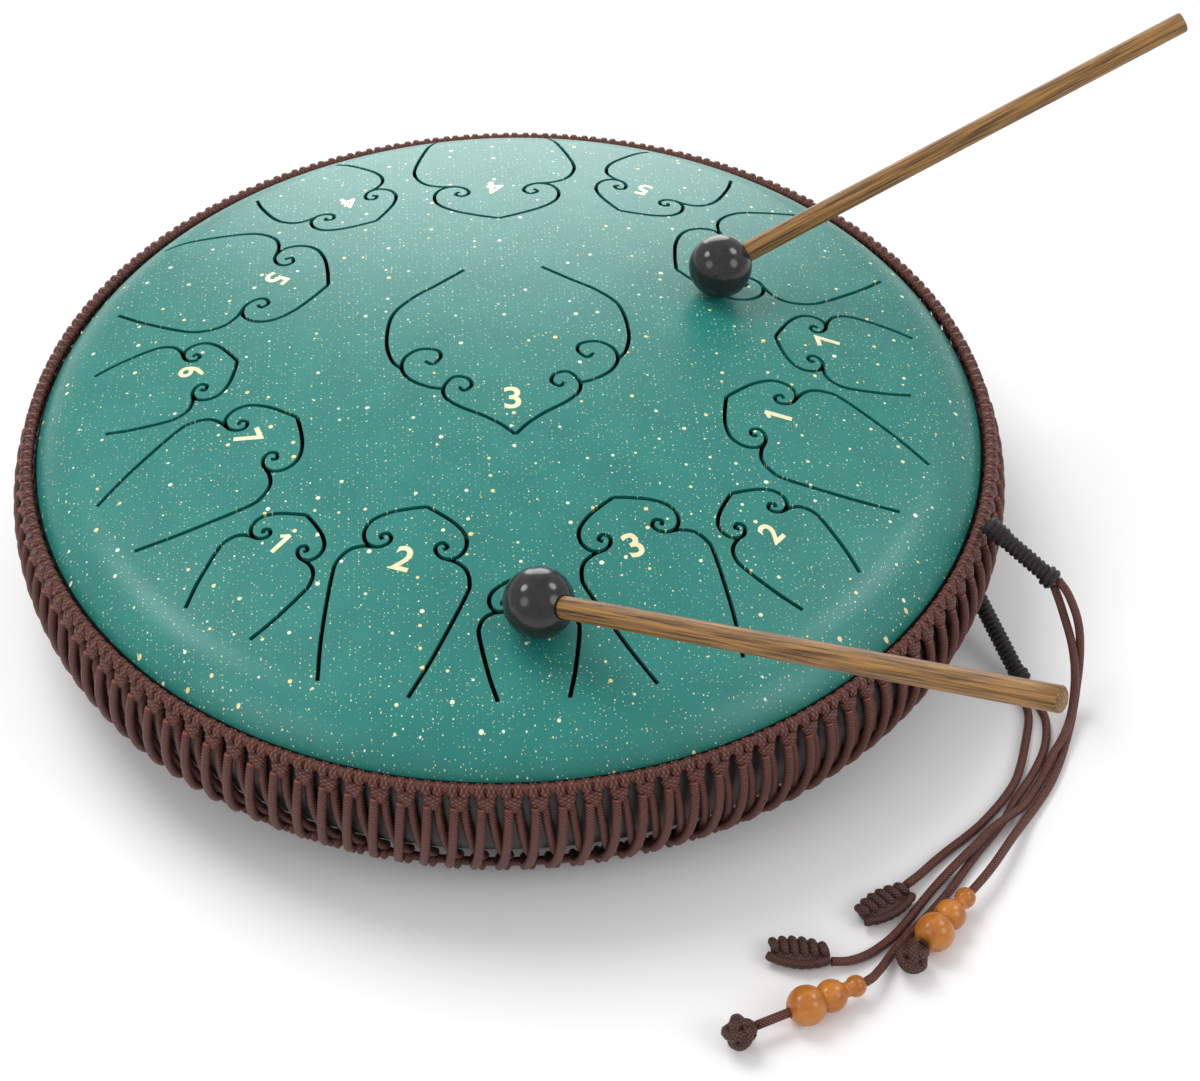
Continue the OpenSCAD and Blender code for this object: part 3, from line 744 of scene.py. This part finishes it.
def teal_paint():
    """Teal with speckle inside the radius teal_r, and near-black below it."""
    material, nodes, links, shader = new_material("speckled_teal")
    where = add_node(nodes, "TexCoord")
    mottle = add_node(nodes, "TexNoise")
    mottle.inputs["Scale"].default_value = 60
    mottle.inputs["Detail"].default_value = 6
    links.new(where.outputs["Object"], mottle.inputs["Vector"])
    base = add_node(nodes, "ValToRGB")
    base.color_ramp.elements[0].position = 0.3
    base.color_ramp.elements[0].color = (0.008, 0.175, 0.148, 1)
    base.color_ramp.elements[1].position = 0.75
    base.color_ramp.elements[1].color = (0.014, 0.208, 0.174, 1)
    links.new(mottle.outputs["Fac"], base.inputs["Fac"])
    colour = base.outputs["Color"]
    for size, small, large, rarity in speck_sizes:
        inside, tint = speckle(nodes, links, where.outputs["Object"], size, small, large, rarity)
        gold = add_node(nodes, "ValToRGB")
        gold.color_ramp.elements[0].position = 0.25
        gold.color_ramp.elements[0].color = (0.80, 0.85, 0.64, 1)
        gold.color_ramp.elements[1].position = 0.8
        gold.color_ramp.elements[1].color = (0.80, 0.67, 0.26, 1)
        links.new(tint, gold.inputs["Fac"])
        mix = add_node(nodes, "Mix", data_type="RGBA")
        links.new(inside, mix.inputs["Factor"])
        links.new(colour, mix.inputs["A"])
        links.new(gold.outputs["Color"], mix.inputs["B"])
        colour = mix.outputs["Result"]
    flat = add_node(nodes, "VectorMath", operation="MULTIPLY")
    links.new(where.outputs["Object"], flat.inputs[0])
    flat.inputs[1].default_value = (1, 1, 0)
    out = add_node(nodes, "VectorMath", operation="LENGTH")
    links.new(flat.outputs[0], out.inputs[0])
    rim = add_node(nodes, "Math", operation="GREATER_THAN")
    links.new(out.outputs["Value"], rim.inputs[0])
    rim.inputs[1].default_value = teal_r
    masked = add_node(nodes, "Mix", data_type="RGBA")
    links.new(rim.outputs[0], masked.inputs["Factor"])
    links.new(colour, masked.inputs["A"])
    masked.inputs["B"].default_value = (0.013, 0.014, 0.014, 1)
    links.new(masked.outputs["Result"], shader.inputs["Base Color"])
    grit = add_node(nodes, "TexNoise")
    grit.inputs["Scale"].default_value = 700
    grit.inputs["Detail"].default_value = 4
    links.new(where.outputs["Object"], grit.inputs["Vector"])
    bump = add_node(nodes, "Bump")
    bump.inputs["Strength"].default_value = 0.08
    bump.inputs["Distance"].default_value = 0.1 * mm
    links.new(grit.outputs["Fac"], bump.inputs["Height"])
    links.new(bump.outputs["Normal"], shader.inputs["Normal"])
    shader.inputs["Roughness"].default_value = 0.38
    return material


top_shell = slotted_shell("drum_top_shell")
finish_piece(top_shell, "drum", "teal_paint", teal_paint(), "top_shell")

# Lower shell and feet
# Pressed steel with near-black paint, and three turned rubber feet stuck under its plate.
dark_paint, nodes, links, shader = new_material("near_black_paint")
where = add_node(nodes, "TexCoord")
orange_peel = add_node(nodes, "TexNoise")
orange_peel.inputs["Scale"].default_value = 500
links.new(where.outputs["Object"], orange_peel.inputs["Vector"])
bump = add_node(nodes, "Bump")
bump.inputs["Strength"].default_value = 0.15
bump.inputs["Distance"].default_value = 0.1 * mm
links.new(orange_peel.outputs["Fac"], bump.inputs["Height"])
links.new(bump.outputs["Normal"], shader.inputs["Normal"])
shade = add_node(nodes, "ValToRGB")
shade.color_ramp.elements[0].color = (0.010, 0.011, 0.011, 1)
shade.color_ramp.elements[1].color = (0.018, 0.019, 0.018, 1)
links.new(orange_peel.outputs["Fac"], shade.inputs["Fac"])
links.new(shade.outputs["Color"], shader.inputs["Base Color"])
shader.inputs["Roughness"].default_value = 0.45


def dress(node, material):
    """A CAD node that stays gets its finish."""
    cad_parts[node].data.materials.clear()
    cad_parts[node].data.materials.append(material)


dress("bottom_shell", dark_paint)


def rubber_material(name, low, high, gloss):
    """Dull rubber, a little paler where dust sits."""
    material, nodes, links, shader = new_material(name)
    where = add_node(nodes, "TexCoord")
    dust = add_node(nodes, "TexNoise")
    dust.inputs["Scale"].default_value = 350
    dust.inputs["Detail"].default_value = 5
    links.new(where.outputs["Object"], dust.inputs["Vector"])
    ramp = add_node(nodes, "ValToRGB")
    ramp.color_ramp.elements[0].position = 0.35
    ramp.color_ramp.elements[0].color = (*low, 1)
    ramp.color_ramp.elements[1].position = 0.7
    ramp.color_ramp.elements[1].color = (*high, 1)
    links.new(dust.outputs["Fac"], ramp.inputs["Fac"])
    links.new(ramp.outputs["Color"], shader.inputs["Base Color"])
    bump = add_node(nodes, "Bump")
    bump.inputs["Strength"].default_value = 0.1
    bump.inputs["Distance"].default_value = 0.05 * mm
    links.new(dust.outputs["Fac"], bump.inputs["Height"])
    links.new(bump.outputs["Normal"], shader.inputs["Normal"])
    shader.inputs["Roughness"].default_value = gloss
    return material


foot_rubber = rubber_material("foot_rubber", (0.018, 0.018, 0.018), (0.035, 0.035, 0.035), 0.7)
for k in (1, 2, 3):
    dress("foot_%d" % k, foot_rubber)

# Note numbers
# Gold foil numbers stuck on the tongues, tops towards the middle of the drum. A dot above a
# number is the high octave, a dot below it is the low one.
gold_foil, nodes, links, shader = new_material("gold_foil")
where = add_node(nodes, "TexCoord")
gold_mottle = add_node(nodes, "TexNoise")
gold_mottle.inputs["Scale"].default_value = 260
links.new(where.outputs["Object"], gold_mottle.inputs["Vector"])
# Random patches of paler and deeper gold over the foil
foil = add_node(nodes, "ValToRGB")
foil.color_ramp.elements[0].color = (0.86, 0.72, 0.36, 1)
foil.color_ramp.elements[1].color = (0.95, 0.90, 0.66, 1)
links.new(gold_mottle.outputs["Fac"], foil.inputs["Fac"])
links.new(foil.outputs["Color"], shader.inputs["Base Color"])
shader.inputs["Metallic"].default_value = 0.3
shader.inputs["Roughness"].default_value = 0.32
# number, tongue's direction, radius of its point, across and out from there, height, dot
notes = [
    ("4", 90, 86, 0.5, 25, 10, "low"), ("5", 143.5, 81.6, 5, 21, 10, "low"),
    ("6", 36.5, 81.6, -5, 21, 10, "low"), ("7", 198.4, 79.7, 0.8, 18.7, 10, "low"),
    ("1", -18.4, 79.7, -2.5, 19.5, 10, ""), ("2", 246.8, 79.9, 0.5, 22.5, 10, ""),
    ("3", -66.8, 79.9, -3.3, 20.7, 10, ""), ("4", 117.7, 102.4, 1.7, 20.3, 9, ""),
    ("5", 62.3, 102.4, -1.7, 20.7, 9, ""), ("6", 174.4, 98.7, 3.3, 16.7, 9, ""),
    ("7", 5.6, 98.7, -2.5, 19.5, 9, ""), ("1", 224.8, 101.5, 1.7, 13.7, 8.8, "high"),
    ("2", -44.8, 101.5, -3.8, 20, 8.8, "high"), ("3", -90, 104.4, 0, 15.5, 8.8, "high"),
    ("3", -90, 0, 0, 25, 11, "low")]
foil_t = 0.1 * mm
dot_r = 0.75 * mm
dot_off = 2.1 * mm
bolder = 0.28 * mm
capital_share = 0.73


def note_number(name, text, angle, tip, across, out, height, dot):
    """A number laid on the shell. It is drawn in metres, where its outline fills well, with a
    round edge that makes its strokes bolder, and is then pressed as thin as the foil."""
    bpy.ops.object.text_add(location=(0, 0, 0))
    words = bpy.context.object
    words.data.body = text
    words.data.align_x = "CENTER"
    words.data.align_y = "CENTER"
    words.data.size = height / capital_share
    words.data.bevel_depth = bolder / mm
    words.data.bevel_resolution = 1
    bpy.ops.object.convert(target="MESH")
    words.data.transform(Matrix.Scale(mm, 4))
    parts = [words]
    low = min(v.co.y for v in words.data.vertices)
    high = max(v.co.y for v in words.data.vertices)
    words.data.transform(Matrix.Translation((0, -(low + high) / 2, 0)))
    top = (high - low) / 2
    if text == "1":
        flag = Vector((-1.1 * mm, top - 1.4 * mm, 0))
        bpy.ops.mesh.primitive_cube_add(size=1, location=flag, rotation=(0, 0, radians(38)),
                                        scale=(3.1 * mm, 1.3 * mm, 2 * bolder))
        bpy.ops.object.transform_apply(location=True, rotation=True, scale=True)
        parts.append(bpy.context.object)
    if dot:
        off = top + dot_off
        bpy.ops.mesh.primitive_cylinder_add(vertices=20, radius=dot_r, depth=2 * bolder,
                                            location=(0, off if dot == "high" else -off, 0))
        bpy.ops.object.transform_apply(location=True)
        parts.append(bpy.context.object)
    number = one_piece(name, parts)
    a = radians(angle)
    centre = (Vector((cos(a), sin(a), 0)) * (tip + out) + Vector((-sin(a), cos(a), 0)) * across)
    up = -Vector((cos(a), sin(a), 0)) if tip else Vector((0, 1, 0))
    right = Vector((up.y, -up.x, 0))
    for v in number.data.vertices:
        flat_place = centre * mm + right * v.co.x + up * v.co.y
        r = math.hypot(flat_place.x, flat_place.y)
        point, normal = lifted(flat_girth(r), math.atan2(flat_place.y, flat_place.x), 0)
        v.co = point + normal * foil_t / 2 * (1 + v.co.z / bolder)
    return number


for k, note in enumerate(notes):
    number = note_number("note_number_%02d" % (k + 1), *note)
    finish_piece(number, "drum", "teal_paint", gold_foil)

# Rope net
# One length of 3 mm satin cord is knotted round the side: a ring cord at the top with a
# lark's head at every unit, whose two ends cross their neighbours and loop round a ring cord
# at the bottom. One unit's pieces are made once and copied round the rim.
net_units = 132
gap = 0.3 * mm
ring_steps = 264
loop_r = 3 * mm
bottom_ring_angle = radians(50)
bottom_ring_off = side_r + gap + loop_r
inner_leg_off = side_r + gap + cord_d / 2
outer_leg_off = inner_leg_off + cord_d + gap


def on_side(off, angle, across=0):
    """A point off from the side's centre line, at an angle above the seam, in the XZ plane,
    across to one hand."""
    return Vector((side_c + off * cos(angle), across, seam_z + off * sin(angle)))


def round_rim(name, parts, count, first):
    """Copies the joined parts evenly round the drum."""
    unit = one_piece(name, parts)
    copies = []
    for k in range(count):
        copy = bpy.data.objects.new(name, unit.data.copy())
        bpy.context.collection.objects.link(copy)
        copy.data.transform(Matrix.Rotation(2 * pi * (k + first) / count, 4, "Z"))
        copies.append(copy)
    bpy.data.objects.remove(unit)
    return one_piece(name, copies)


def ring_cord(name, centre):
    """A cord all the way round the drum through the given place."""
    points = [Matrix.Rotation(2 * pi * k / ring_steps, 3, "Z") @ centre
              for k in range(ring_steps)]
    return cord_tube(name, points, cord_d / 2, 8, closed=True)


# The knots show as two fat turns side by side, low on the ring cord, with a link between
# each pair and the next
knot_centre = on_side(side_r + gap + 2.9 * mm, radians(29.8))
pitch = 2 * pi * knot_centre.x / net_units
turn_w = 0.46 * pitch
turn_r = 0.75 * mm
around = 8
turns = []
for hand in (-1, 1):
    loop = []
    for k in range(around):
        t = 2 * pi * k / around
        loop.append(knot_centre + Vector((cos(t) * turn_r, hand * 0.48 * turn_w,
                                          sin(t) * turn_r)))
    turns.append(cord_tube("turn", loop, turn_w / 2, 7, closed=True, up=(0, 1, 0)))
wraps = round_rim("net_wraps", turns, net_units, 0)
finish_piece(wraps, "drum", "brown_cord", brown_braid, "net_top_wraps")

ring_centre = on_side(side_r + gap + 2.4 * mm, radians(30.5))
top_ring = ring_cord("net_top_ring", ring_centre)
finish_piece(top_ring, "drum", "brown_cord", brown_braid, "net_top_cord")

# Under each pair of turns the two cords come out together, as a collar that narrows, and
# between two knots a short link of cord shows on the ring
collar = []
for k in range(6):
    collar.append(on_side(side_r + gap + (2.2 + 0.5 * sin(pi * k / 5)) * mm,
                          radians(26.5 - 8.5 * k / 5)))
collar_r = [r * mm for r in (3.3, 3.55, 3.2, 2.75, 2.4, 2.0)]
collars = round_rim("net_collars", [cord_tube("collar", collar, collar_r, 8, flat=0.62,
                                              up=(1, 0, 0.4))], net_units, 0)
finish_piece(collars, "drum", "brown_cord", brown_braid)

link = [on_side(side_r + gap + 2.9 * mm, radians(30.6), across * 1.6 * mm)
        for across in (-1, -0.5, 0, 0.5, 1)]
link_r = [r * mm for r in (1.2, 1.55, 1.65, 1.55, 1.2)]
links_round = round_rim("net_inner_bumps", [cord_tube("link", link, link_r, 7)], net_units, 0.5)
finish_piece(links_round, "drum", "brown_cord", brown_braid)


def net_leg(name, hand, off, node):
    """Legs that leave the collars close together and spread, so that each crosses the other
    leg of its neighbour near the bottom ring."""
    leg = []
    top = radians(20)
    bottom = bottom_ring_angle - 5.5 / 33.8
    spread, bend = (4.1, 1.8) if hand < 0 else (5, 1.1)
    for k in range(9):
        t = k / 8
        angle = top - (top + bottom) * t
        share = min(1, 0.6 + 0.55 * t) if t < 0.9 else 0.75
        leg.append(on_side(inner_leg_off + (off - inner_leg_off) * share, angle,
                           hand * (1.35 + spread * t ** bend) * mm))
    legs = round_rim(name, [cord_tube("leg", leg, 1.6 * mm, 7)], net_units, 0)
    finish_piece(legs, "drum", "brown_cord", brown_braid, node)


net_leg("net_legs_left", -1, outer_leg_off, "net_left_legs")
net_leg("net_legs_right", 1, inner_leg_off, "net_right_legs")

bottom_centre = on_side(bottom_ring_off + 1.2 * mm, 0.06 - bottom_ring_angle)
bottom_ring = ring_cord("net_bottom_ring", bottom_centre)
finish_piece(bottom_ring, "drum", "brown_cord", brown_braid, "net_bottom_cord")
pair = []
path_r = loop_r - 1.3 * mm
for hand in (-1, 1):
    loop = []
    for k in range(around):
        t = 2 * pi * k / around
        loop.append(bottom_centre + Vector((cos(t) * path_r, hand * 1.25 * mm,
                                            sin(t) * path_r)))
    pair.append(cord_tube("loop", loop, 1.35 * mm, 7, closed=True, up=(0, 1, 0)))
loops = round_rim("net_loops", pair, net_units, 0.5)
finish_piece(loops, "drum", "brown_cord", brown_braid, "net_bottom_loops")

# Mallets
# A moulded black rubber ball with a fine parting line, glued on a straight stick of striped
# brown wood whose end is cut square.
ball_r = 11.75 * mm
stick_r = 3.75 * mm
mallet_l = 200 * mm
stick_depth = 15 * mm
# distance from the axis, direction there, heading and rise of the stick
mallet_places = {
    "mallet_1": (0.493 * body_r, 23.5, 11.4, 23.6),
    "mallet_2": (0.707 * body_r, -88.5, -40.7, 22.9),
}
black_rubber = rubber_material("ball_rubber", (0.010, 0.010, 0.010), (0.022, 0.021, 0.020), 0.16)


def ball_profile():
    """Outline of the ball round the hole for its stick, with the parting line as a groove."""
    mouth = stick_r + 0.05 * mm
    bottom = ball_r - stick_depth
    points = [(0, bottom), (mouth, bottom)]
    rim = math.acos(mouth / ball_r)
    points.append((mouth, ball_r * sin(rim) - 0.4 * mm))
    for k in range(37):
        t = rim - (rim + pi / 2) * k / 36
        groove = 0.12 * mm if abs(t) < radians(1.5) else 0
        points.append(((ball_r - groove) * cos(t), (ball_r - groove) * sin(t)))
    return points


for name, (r, angle, heading, rise) in mallet_places.items():
    angle, heading, rise = radians(angle), radians(heading), radians(rise)
    ball = Vector((r * cos(angle), r * sin(angle),
                   crown_z + sqrt((crown_r + ball_r + gap) ** 2 - r ** 2)))
    way = Vector((cos(rise) * cos(heading), cos(rise) * sin(heading), sin(rise)))
    head = spun(name + "_rubber_ball", ball_profile(), 48, way, ball)
    finish_piece(head, name, "ball_rubber", black_rubber, name + "_ball")
    foot = ball_r - stick_depth
    end = mallet_l - ball_r
    edge = 0.35 * mm
    profile = [(0, foot), (stick_r, foot)]
    profile += [(stick_r, foot + (end - edge - foot) * k / 24) for k in range(1, 25)]
    profile += [(stick_r - edge, end), (0, end)]
    stick = spun(name + "_wooden_stick", profile, 32, way, ball)
    striped = wood_material(name + "_wood", (0.050, 0.020, 0.006), (0.37, 0.185, 0.042), ball,
                            way, 0.7 * mm, 0.03, 0.5, (0.36, 0.64))
    finish_piece(stick, name, "stick_wood", striped, name + "_stick")
